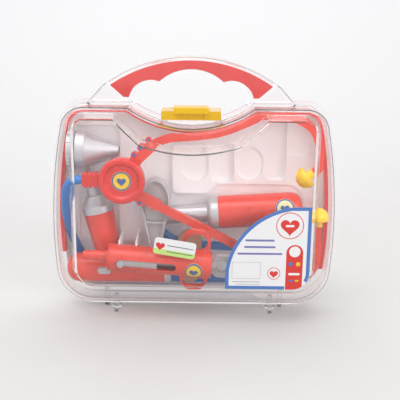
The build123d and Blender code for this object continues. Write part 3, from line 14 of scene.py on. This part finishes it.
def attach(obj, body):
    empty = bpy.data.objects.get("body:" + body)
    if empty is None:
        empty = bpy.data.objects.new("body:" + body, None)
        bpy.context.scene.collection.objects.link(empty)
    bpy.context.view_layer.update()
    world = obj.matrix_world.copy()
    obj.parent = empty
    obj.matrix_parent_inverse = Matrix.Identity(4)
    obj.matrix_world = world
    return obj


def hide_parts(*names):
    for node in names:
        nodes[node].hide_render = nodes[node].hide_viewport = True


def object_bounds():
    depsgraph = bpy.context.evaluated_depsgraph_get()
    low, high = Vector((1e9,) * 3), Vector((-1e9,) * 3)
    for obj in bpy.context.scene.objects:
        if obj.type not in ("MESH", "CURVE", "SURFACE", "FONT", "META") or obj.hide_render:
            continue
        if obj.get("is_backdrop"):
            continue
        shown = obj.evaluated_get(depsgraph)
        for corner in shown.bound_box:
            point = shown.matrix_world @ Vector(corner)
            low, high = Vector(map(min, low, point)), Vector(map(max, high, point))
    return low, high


MM = 0.001

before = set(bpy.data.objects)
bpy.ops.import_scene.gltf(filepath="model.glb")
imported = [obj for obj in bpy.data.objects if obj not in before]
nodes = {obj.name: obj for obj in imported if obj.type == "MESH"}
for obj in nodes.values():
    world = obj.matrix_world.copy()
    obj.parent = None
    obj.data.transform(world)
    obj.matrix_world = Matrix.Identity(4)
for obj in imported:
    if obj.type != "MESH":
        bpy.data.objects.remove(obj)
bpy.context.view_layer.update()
scene = bpy.context.scene
scene.view_settings.view_transform = "Standard"


def linear(rgb):
    """Colour from 0-255 screen values."""
    out = []
    for value in rgb:
        c = value / 255
        out.append(c / 12.92 if c <= 0.04045 else ((c + 0.055) / 1.055) ** 2.4)
    return out


# ---------------------------------------------------------------- materials
def new_material(name):
    material = bpy.data.materials.new(name)
    material.use_nodes = True
    tree = material.node_tree
    shader = tree.nodes["Principled BSDF"]
    place = tree.nodes.new("ShaderNodeTexCoord").outputs["Object"]
    return material, tree, shader, place


def noise(tree, place, scale, detail=3.0):
    node = tree.nodes.new("ShaderNodeTexNoise")
    node.inputs["Scale"].default_value = scale
    node.inputs["Detail"].default_value = detail
    tree.links.new(place, node.inputs["Vector"])
    return node.outputs["Fac"]


def span(tree, value, low, high):
    """Maps a noise value to a range."""
    node = tree.nodes.new("ShaderNodeMapRange")
    node.inputs["From Min"].default_value = 0.3
    node.inputs["From Max"].default_value = 0.7
    node.inputs["To Min"].default_value = low
    node.inputs["To Max"].default_value = high
    tree.links.new(value, node.inputs["Value"])
    return node.outputs["Result"]


def tint(tree, value, low_rgb, high_rgb):
    node = tree.nodes.new("ShaderNodeMix")
    node.data_type = "RGBA"
    node.inputs["A"].default_value = (*linear(low_rgb), 1)
    node.inputs["B"].default_value = (*linear(high_rgb), 1)
    tree.links.new(span(tree, value, 0, 1), node.inputs["Factor"])
    return node.outputs["Result"]


def bump(tree, shader, height, strength, distance, before=None):
    node = tree.nodes.new("ShaderNodeBump")
    node.inputs["Strength"].default_value = strength
    node.inputs["Distance"].default_value = distance
    tree.links.new(height, node.inputs["Height"])
    if before is not None:
        tree.links.new(before, node.inputs["Normal"])
    tree.links.new(node.outputs["Normal"], shader.inputs["Normal"])
    return node.outputs["Normal"]


def plastic(name, rgb, rough=0.3, coat=0.0, metallic=0.0, vary=6, grain=0.05, sheet=0.0, glow=0.0):
    """Moulded plastic: slight mottling, sink waviness and a fine mould grain; sheet scatters light; glow
    paints light on as an emission in the plastic's own colour.
    """
    material, tree, shader, place = new_material(name)
    dark = [max(0, c - vary) for c in rgb]
    light = [min(255, c + vary) for c in rgb]
    tree.links.new(tint(tree, noise(tree, place, 45), dark, light), shader.inputs["Base Color"])
    tree.links.new(span(tree, noise(tree, place, 160), rough * 0.85, rough * 1.2),
                   shader.inputs["Roughness"])
    wavy = bump(tree, shader, noise(tree, place, 55, 1.0), 0.12, 0.0012)
    bump(tree, shader, noise(tree, place, 2600, 2.0), grain, 0.0002, before=wavy)
    shader.inputs["Metallic"].default_value = metallic
    shader.inputs["Coat Weight"].default_value = coat
    shader.inputs["Coat Roughness"].default_value = 0.08
    shader.inputs["Emission Color"].default_value = (*linear(rgb), 1)
    shader.inputs["Emission Strength"].default_value = glow
    if sheet:
        shader.inputs["Subsurface Weight"].default_value = sheet
        shader.inputs["Subsurface Radius"].default_value = (0.004, 0.002, 0.0015)
    return material


CLEAR_IOR = 1.34
CLEAR_ROUGH = 0.03
PAINTED_GLOW = 0.015            # emission painted on the clear plastic as a faint glow, standing in for light scattered in it


def clear(name, rgb):
    """Clear plastic that bends the view through its wall and lets the lamps' light pass."""
    material, tree, shader, place = new_material(name)
    shader.inputs["Base Color"].default_value = (*linear(rgb), 1)
    tree.links.new(span(tree, noise(tree, place, 90), CLEAR_ROUGH * 0.5, CLEAR_ROUGH * 1.5),
                   shader.inputs["Roughness"])
    bump(tree, shader, noise(tree, place, 28, 1.5), 0.12, 0.001)
    shader.inputs["Transmission Weight"].default_value = 1.0
    shader.inputs["IOR"].default_value = CLEAR_IOR
    # painted light: a faint pinkish-white emission makes the clear walls glow though they are no lamp
    shader.inputs["Emission Color"].default_value = (1, 0.96, 0.96, 1)
    shader.inputs["Emission Strength"].default_value = PAINTED_GLOW
    lit = tree.nodes.new("ShaderNodeMath")
    lit.operation = "SUBTRACT"
    lit.inputs[0].default_value = 1.0
    tree.links.new(tree.nodes.new("ShaderNodeLightPath").outputs["Is Shadow Ray"], lit.inputs[1])
    tree.links.new(lit.outputs["Value"], shader.inputs["Alpha"])
    return material


RED = plastic("chest_red", (222, 32, 22), 0.24, coat=0.5)
CORAL = plastic("coral_red", (228, 64, 46), 0.30, coat=0.35, sheet=0.05)
TRIM = plastic("trim_red", (218, 44, 40), 0.22, coat=0.4)
YELLOW = plastic("yellow", (255, 204, 0), 0.26, coat=0.4, sheet=0.1)
BLUE = plastic("blue_tube", (38, 118, 196), 0.34, coat=0.15, sheet=0.1)
BLUE_HARD = plastic("blue_plastic", (44, 104, 184), 0.28, coat=0.3)
SILVER = plastic("silver_paint", (200, 200, 204), 0.34, metallic=0.55, vary=4, grain=0.12)
GREY = plastic("grey_plastic", (190, 189, 192), 0.42, vary=5)
# the tray's glow is painted light: emission that brightens the milky sheet though it is no lamp
TRAY = plastic("milky_sheet", (246, 242, 243), 0.45, vary=3, sheet=0.3, glow=0.05)
STEEL = plastic("steel_pin", (190, 190, 194), 0.22, metallic=1.0, vary=4)
FILM = plastic("white_film", (248, 248, 250), 0.32, vary=1, grain=0.02)
STICKER = plastic("yellow_film", (240, 200, 40), 0.35, vary=4, grain=0.02)
STICKER_PALE = plastic("pale_film", (232, 226, 170), 0.35, vary=8, grain=0.02)
TAN = plastic("tan_film", (205, 160, 125), 0.7, vary=8, grain=0.4)
LENS = clear("lens", (248, 250, 252))
SHELL = clear("clear_shell", (252, 250, 250))

LOOK = {
    SHELL: ["front_shell", "back_shell"],
    TRIM: ["handle_insert", "rim_band"],
    YELLOW: ["latch", "upper_ear_tip", "lower_ear_tip"],
    STEEL: ["hinge_pins", "latch_pin"],
    TRAY: ["inner_tray"],
    FILM: ["label", "tag_sticker"],
    RED: ["chest_piece", "headset_yoke"],
    CORAL: ["upper_arm", "lower_arm", "otoscope_handle", "hammer_handle", "syringe_barrel", "syringe_nose",
            "torch_body"],
    BLUE_HARD: ["diaphragm", "upper_arm_pegs", "lower_arm_peg"],
    BLUE: ["hose"],
    STICKER: ["chest_sticker", "syringe_sticker"],
    STICKER_PALE: ["hammer_sticker"],
    SILVER: ["otoscope_neck", "otoscope_head", "otoscope_wheel", "otoscope_cone", "hammer_neck",
             "hammer_collar", "torch_lens_ring", "torch_reflector"],
    GREY: ["headset_pin", "hammer_head", "syringe_plunger", "torch_switch"],
    LENS: ["torch_lens"],
    TAN: ["plaster_strip"],
}
for material, names in LOOK.items():
    for name in names:
        node = nodes[name]
        if not node.material_slots:
            node.data.materials.append(material)
        for slot in node.material_slots:
            slot.material = material


# ---------------------------------------------------------------- hose
HOSE_R = 4.4
HOSE_ROUTE = (
    (-111, -25.5, 145.5), (-127, -25.5, 145.5), (-131, -14, 112), (-129, 3, 84), (-123, 15, 60),
    (-112, 19.2, 44), (-97, 19.2, 32.5), (-75, 19.2, 28.2), (-35, 19.2, 27.8), (0, 18, 27.4),
    (28, 17.4, 27.4), (60, 17, 30), (68.5, 17, 36.3), (71, 17, 45.4), (68, 17, 54.6), (60, 16.7, 61.5),
    (36, 14.3, 64.8), (8, 11.5, 66.5), (-22, 9.5, 71), (-41, 8.5, 90), (-47, 9.5, 112),
    (-58.67, 8.95, 123.64), (-62.65, 0.11, 130.71))
line = bpy.data.curves.new("hose_tube", "CURVE")
line.dimensions = "3D"
spline = line.splines.new("NURBS")
spline.points.add(len(HOSE_ROUTE) - 1)
for point, place in zip(spline.points, HOSE_ROUTE):
    point.co = (*[c * MM for c in place], 1)
spline.order_u = 3
spline.use_endpoint_u = True
spline.resolution_u = 8
line.bevel_depth = HOSE_R * MM
line.bevel_resolution = 8
line.use_fill_caps = True
line.materials.append(BLUE)
hose = bpy.data.objects.new("hose_tube", line)
scene.collection.objects.link(hose)
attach(hose, "case")
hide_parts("hose")


# ---------------------------------------------------------------- prints
def arc(centre, radius, start, end, steps=24):
    """Points on a circle between two angles in degrees."""
    angles = [math.radians(start + (end - start) * i / steps) for i in range(steps + 1)]
    return [(centre[0] + radius * math.cos(a), centre[1] + radius * math.sin(a)) for a in angles]


def circle(centre, radius, steps=48):
    return arc(centre, radius, 0, 360, steps)[:-1]


def heart(centre, width, steps=40):
    """Heart outline of a given width."""
    points = []
    for i in range(steps):
        t = 2 * math.pi * i / steps
        points.append((centre[0] + width * math.sin(t) ** 3 / 2,
                       centre[1] + width * (13 * math.cos(t) - 5 * math.cos(2 * t) - 2 * math.cos(3 * t)
                                            - math.cos(4 * t)) / 32))
    return points[::-1]


def bar(x, z, height):
    """Bar with round ends between two x."""
    r = height / 2
    return arc((x[1] - r, z), r, -90, 90, 8) + arc((x[0] + r, z), r, 90, 270, 8)


def flat_place(y):
    """Prints on a flat face seen from the front: (x, z) in mm at a depth y."""
    return lambda u, v, lift: Vector((u, y - lift, v)) * MM


def turned_place(origin, turn, y):
    """Prints on a flat face, about an origin and turned."""
    c, s = math.cos(math.radians(turn)), math.sin(math.radians(turn))
    return lambda u, v, lift: Vector((origin[0] + u * c - v * s, y - lift,
                                      origin[1] + u * s + v * c)) * MM


def round_place(origin, axis, front, along, turn, radius):
    """Prints on a cylinder about an axis, centred along it and turned up from its front."""
    axis, front = Vector(axis).normalized(), Vector(front).normalized()
    up = front.cross(axis)
    way = front * math.cos(math.radians(turn)) + up * math.sin(math.radians(turn))
    side = way.cross(axis)

    def put(u, v, lift):
        angle = math.asin(max(-1, min(1, v / radius)))
        out = way * math.cos(angle) + side * math.sin(angle)
        return (Vector(origin) + axis * (along + u) + out * (radius + lift)) * MM
    return put


PRINT_T = 0.04
PRINT_STEP = 1.5
ABOVE = 0.08            # lift of a print that lies on another print


def print_film(name, rings, place, material, body, lift=0.03):
    """Thin closed film from 2-D outlines: each entry is one outline followed by its holes."""
    work = bmesh.new()
    for outlines in rings:
        flat = [[Vector((u, v, 0)) for u, v in outline] for outline in outlines]
        points = [work.verts.new(p) for outline in flat for p in outline]
        for face in tessellate_polygon(flat):
            work.faces.new([points[i] for i in face])
    bmesh.ops.remove_doubles(work, verts=work.verts, dist=0.001)
    for _ in range(5):
        long_edges = [e for e in work.edges if e.calc_length() > PRINT_STEP * 1.5]
        if not long_edges:
            break
        bmesh.ops.subdivide_edges(work, edges=long_edges, cuts=1)
        bmesh.ops.triangulate(work, faces=work.faces)
    bmesh.ops.recalc_face_normals(work, faces=work.faces)
    if sum(f.normal.z * f.calc_area() for f in work.faces) < 0:
        bmesh.ops.reverse_faces(work, faces=work.faces)
    grown = bmesh.ops.extrude_face_region(work, geom=work.faces[:])
    for vert in [g for g in grown["geom"] if isinstance(g, bmesh.types.BMVert)]:
        vert.co.z = PRINT_T
    for vert in work.verts:
        vert.co = place(vert.co.x, vert.co.y, lift + vert.co.z)
    bmesh.ops.recalc_face_normals(work, faces=work.faces)
    mesh = bpy.data.meshes.new(name)
    work.to_mesh(mesh)
    work.free()
    mesh.materials.append(material)
    film = bpy.data.objects.new(name, mesh)
    scene.collection.objects.link(film)
    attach(film, body)
    return film


INK_BLUE = plastic("ink_blue", (84, 128, 200), 0.35, vary=2, grain=0.01)
INK_RED = plastic("ink_red", (228, 62, 52), 0.35, vary=2, grain=0.01)
INK_VIOLET = plastic("ink_violet", (128, 128, 188), 0.35, vary=2, grain=0.01)
INK_GREY = plastic("ink_grey", (196, 196, 204), 0.35, vary=2, grain=0.01)
INK_DARK = plastic("ink_dark", (92, 92, 96), 0.35, vary=2, grain=0.01)
INK_LIME = plastic("ink_lime", (206, 236, 140), 0.35, vary=2, grain=0.01)
INK_WHITE = plastic("ink_white", (250, 250, 252), 0.35, vary=1, grain=0.01)
INK_YELLOW = plastic("ink_yellow", (244, 206, 60), 0.35, vary=2, grain=0.01)
STICKER_BLUE = plastic("sticker_blue", (52, 96, 156), 0.35, vary=2, grain=0.01)

# the big label: its outline is an arc from its left side to its top
LABEL_Y = -44.25
EDGE = 3.4
LEFT, RIGHT, BOTTOM, TOP = 32.0, 115.5, 39.0, 124.5
LOW_CORNER = 17.0
a, b, c = Vector((LEFT, 58.0)), Vector((51.5, 100.5)), Vector((98.0, TOP))
d = 2 * (a.x * (b.y - c.y) + b.x * (c.y - a.y) + c.x * (a.y - b.y))
aa, bb, cc = a.length_squared, b.length_squared, c.length_squared
middle = Vector(((aa * (b.y - c.y) + bb * (c.y - a.y) + cc * (a.y - b.y)) / d,
                 (aa * (c.x - b.x) + bb * (a.x - c.x) + cc * (b.x - a.x)) / d))
sweep = (a - middle).length
start = math.degrees(math.atan2(a.y - middle.y, a.x - middle.x)) % 360
end = math.degrees(math.atan2(c.y - middle.y, c.x - middle.x)) % 360
outer = arc(middle, sweep, start, end, 40)
inner = [p for p in arc(middle, sweep - EDGE, start, end, 60)
         if p[0] > LEFT + EDGE and p[1] < TOP - EDGE]
BAR_X = (92.0, 108.6)
BAR_TOP_Z = 77.7
corner_c = (RIGHT - LOW_CORNER, BOTTOM + LOW_CORNER)
BORDER_END = -32        # degrees along the low corner at which the border stops
border = ([(BAR_X[0] - 0.8, BOTTOM), (LEFT, BOTTOM)] + outer + [(RIGHT, TOP)]
          + arc(corner_c, LOW_CORNER, 0, BORDER_END, 8) + arc(corner_c, LOW_CORNER - EDGE, BORDER_END, 0, 8)
          + [(RIGHT - EDGE, TOP - EDGE)] + inner[::-1]
          + [(LEFT + EDGE, BOTTOM + EDGE), (BAR_X[0] - 0.8, BOTTOM + EDGE)])
front = flat_place(LABEL_Y)
print_film("label_border", [[border]], front, INK_BLUE, "lid")
reach = math.degrees(math.asin((BAR_X[1] - corner_c[0]) / LOW_CORNER))
bar_c = ((BAR_X[0] + BAR_X[1]) / 2, BAR_TOP_Z)
bar_r = (BAR_X[1] - BAR_X[0]) / 2
print_film("label_bar", [[[(BAR_X[0], BOTTOM)] + arc(corner_c, LOW_CORNER, -90, -90 + reach, 12)
                          + arc(bar_c, bar_r, 0, 180, 24)]], front, INK_RED, "lid")
print_film("label_bar_disc", [[circle((bar_c[0], bar_c[1] + 1.2), 5.6)], [bar((94.5, 106.1), 55.5, 2.4)]],
           front, INK_WHITE, "lid", lift=ABOVE)
print_film("label_bar_dot_blue", [[circle((96.6, 66), 2.2)], [bar((95.4, 100.4), 48.5, 1.8)]],
           front, INK_BLUE, "lid", lift=ABOVE)
print_film("label_bar_dot_yellow", [[circle((104.0, 66), 2.2)], [bar((101.4, 105.2), 48.5, 1.8)]],
           front, INK_YELLOW, "lid", lift=ABOVE)
EMBLEM = (94.5, 105.6)
print_film("label_emblem", [[circle(EMBLEM, 13.6), circle(EMBLEM, 12.8)], [heart((94.5, 104.6), 18.5)]],
           front, INK_RED, "lid")
print_film("label_cross", [[bar((90.2, 98.8), 105.4, 2.2)]], front, INK_WHITE, "lid",
           lift=ABOVE)
SMALL = (80.2, 55.8)
print_film("label_small_emblem", [[circle(SMALL, 6.4), circle(SMALL, 5.8)], [heart((80.2, 55.3), 8.4)]],
           front, INK_RED, "lid")
print_film("label_lines", [[bar((51.0, 80.0), 90.2, 2.0)], [bar((50.0, 81.0), 83.4, 2.0)],
                           [bar((43.5, 88.0), 76.4, 2.0)]], front, INK_VIOLET, "lid")
PANEL_X = (38.5, 67.0)
PANEL_Z = (50.0, 67.5)
LINE = 0.4
panel_in_x = (PANEL_X[0] + LINE, PANEL_X[1] - LINE)
panel_in_z = (PANEL_Z[0] + LINE, PANEL_Z[1] - LINE)
print_film("label_panel", [[[(PANEL_X[0], PANEL_Z[0]), (PANEL_X[1], PANEL_Z[0]),
                             (PANEL_X[1], PANEL_Z[1]), (PANEL_X[0], PANEL_Z[1])],
                            [(panel_in_x[0], panel_in_z[0]), (panel_in_x[0], panel_in_z[1]),
                             (panel_in_x[1], panel_in_z[1]), (panel_in_x[1], panel_in_z[0])]],
                           [bar((39, 66.5), 46.8, 0.9)], [bar((42, 66.5), 44.2, 0.6)]],
           front, INK_GREY, "lid")

# the name tag, left blank
TAG_C, TAG_TURN = (-18.5, 81.0), -9.5
tag = turned_place(TAG_C, TAG_TURN, LABEL_Y)
TAG_W, TAG_H, TAG_R = 41.5, 17.0, 3.0
low = ([(-TAG_W / 2, -TAG_H / 6)] + arc((-TAG_W / 2 + TAG_R, -TAG_H / 2 + TAG_R), TAG_R, 180, 270, 8)
       + arc((TAG_W / 2 - TAG_R, -TAG_H / 2 + TAG_R), TAG_R, 270, 360, 8) + [(TAG_W / 2, -TAG_H / 6)])
print_film("tag_lower", [[low]], tag, INK_LIME, "lid")
print_film("tag_motif", [[heart((-14.5, 0.0), 9.0)]], tag, INK_RED, "lid", lift=ABOVE)
print_film("tag_rules", [[bar((-7.5, 18.5), 1.6, 0.7)], [bar((-7.5, 18.5), -4.6, 0.7)]],
           tag, INK_DARK, "lid", lift=ABOVE)


def sticker_print(name, place, radius, ink, body):
    """Ring and heart of a round sticker."""
    print_film(name, [[circle((0, 0), radius), circle((0, 0), radius - 1.5)],
                      [heart((0, -0.5), radius * 0.95)]],
               place, ink, body)


SYRINGE_AXIS = Vector((math.cos(math.radians(4.3)), 0, -math.sin(math.radians(4.3))))
SYRINGE_UP = Vector((math.sin(math.radians(4.3)), 0, math.cos(math.radians(4.3))))
SYRINGE_FRONT = Vector((0, -1, 0)) * math.cos(math.radians(10)) - SYRINGE_UP * math.sin(math.radians(10))
HAMMER_AXIS = Vector((math.cos(math.radians(3.6)), 0, math.sin(math.radians(3.6))))
sticker_print("chest_print", turned_place((-71.5, 145.5), 0, -31.85), 9.6, STICKER_BLUE, "case")
SYRINGE_START, SYRINGE_R = (-84.1, -26.5, 65.6), 13.85
HAMMER_START, HAMMER_R = (25.0, 1.0, 106.2), 17.25
sticker_print("syringe_print",
              round_place(SYRINGE_START, SYRINGE_AXIS, SYRINGE_FRONT, 85.0, -12.0, SYRINGE_R),
              9.0, STICKER_BLUE, "case")
sticker_print("hammer_print", round_place(HAMMER_START, HAMMER_AXIS, (0, -1, 0), 67.5, 17.0, HAMMER_R),
              9.6, STICKER_BLUE, "case")

# ---------------------------------------------------------------- stage, light and camera
floor_mesh = bpy.data.meshes.new("floor")
work = bmesh.new()
FLOOR_W, FLOOR_FRONT, BEND_Y, BEND_R, WALL_H = 3.0, -2.0, 0.75, 0.8, 3.0     # metres
PAINTED_LIGHT_FADE_Y = (0.3, 1.5)       # metres: painted light, the paper grows paler between these depths as if lit more further back
path = [(FLOOR_FRONT, 0.0)]
path += [(BEND_Y + BEND_R * math.sin(math.radians(t)), BEND_R * (1 - math.cos(math.radians(t))))
         for t in range(0, 91, 6)]
path.append((BEND_Y + BEND_R, WALL_H))
rows = [[work.verts.new((side * FLOOR_W, y, z)) for side in (-1, 1)] for y, z in path]
for first, second in zip(rows, rows[1:]):
    work.faces.new((first[0], first[1], second[1], second[0]))
work.to_mesh(floor_mesh)
work.free()
floor_mesh.polygons.foreach_set("use_smooth", [True] * len(floor_mesh.polygons))
floor = bpy.data.objects.new("floor", floor_mesh)
scene.collection.objects.link(floor)
floor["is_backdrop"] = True
material, tree, shader, place = new_material("floor_paper")
apart = tree.nodes.new("ShaderNodeSeparateXYZ")
tree.links.new(place, apart.inputs["Vector"])
depth = tree.nodes.new("ShaderNodeMapRange")
depth.inputs["From Min"].default_value = PAINTED_LIGHT_FADE_Y[0]
depth.inputs["From Max"].default_value = PAINTED_LIGHT_FADE_Y[1]
tree.links.new(apart.outputs["Y"], depth.inputs["Value"])
paper = tree.nodes.new("ShaderNodeMix")
paper.data_type = "RGBA"
# painted light: the floor colour is darker at the front and paler towards the back and up the bend
tree.links.new(tint(tree, noise(tree, place, 6), (224, 222, 221), (228, 226, 225)), paper.inputs["A"])
paper.inputs["B"].default_value = (*linear((246, 246, 248)), 1)
tree.links.new(depth.outputs["Result"], paper.inputs["Factor"])
tree.links.new(paper.outputs["Result"], shader.inputs["Base Color"])
shader.inputs["Roughness"].default_value = 0.75
floor_mesh.materials.append(material)

WORLD_LIGHT = 0.57
world = bpy.data.worlds.new("studio")
scene.world = world
world.use_nodes = True
tree = world.node_tree
back = tree.nodes["Background"]
back.inputs["Color"].default_value = (1, 1, 1, 1)
rays = tree.nodes.new("ShaderNodeLightPath")
seen = rays.outputs["Is Camera Ray"]
for kind in ("Is Glossy Ray", "Is Transmission Ray"):
    either = tree.nodes.new("ShaderNodeMath")
    either.operation = "MAXIMUM"
    tree.links.new(seen, either.inputs[0])
    tree.links.new(rays.outputs[kind], either.inputs[1])
    seen = either.outputs["Value"]
strength = tree.nodes.new("ShaderNodeMapRange")
strength.inputs["To Min"].default_value = WORLD_LIGHT
strength.inputs["To Max"].default_value = 1.0
tree.links.new(seen, strength.inputs["Value"])
tree.links.new(strength.outputs["Result"], back.inputs["Strength"])


def lamp(name, place, target, size, power, shape="RECTANGLE"):
    light = bpy.data.lights.new(name, "AREA")
    light.shape = shape
    light.size, light.size_y = size
    light.energy = power
    holder = bpy.data.objects.new(name, light)
    holder.location = place
    holder.rotation_euler = (Vector(target) - Vector(place)).to_track_quat("-Z", "Y").to_euler()
    scene.collection.objects.link(holder)


lamp("key", (-0.35, -0.45, 1.25), (0, 0.05, 0.1), (1.2, 0.8), 6.4)
lamp("fill", (0.9, -0.8, 0.6), (0, 0, 0.12), (0.7, 0.9), 3.6)
lamp("back", (0.0, 0.75, 1.5), (0, 0.9, 0.0), (2.4, 0.8), 9.0)

TARGET = Vector((5.9, 0.0, 118.9)) * MM
DISTANCE = 0.800        # metres
LENS_MM = 69.9
ELEVATION, AZIMUTH, ROLL = math.radians(15), math.radians(0), math.radians(0.7)
back_way = Vector((math.sin(AZIMUTH) * math.cos(ELEVATION), -math.cos(AZIMUTH) * math.cos(ELEVATION),
                   math.sin(ELEVATION)))
camera_data = bpy.data.cameras.new("photo_camera")
camera_data.sensor_width = 36.0
camera_data.lens = LENS_MM
camera = bpy.data.objects.new("photo_camera", camera_data)
camera.location = TARGET + back_way * DISTANCE
turn = (-back_way).to_track_quat("-Z", "Y").to_matrix().to_4x4() @ Matrix.Rotation(ROLL, 4, "Z")
camera.rotation_euler = turn.to_euler()
scene.collection.objects.link(camera)
scene.camera = camera

low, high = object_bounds()
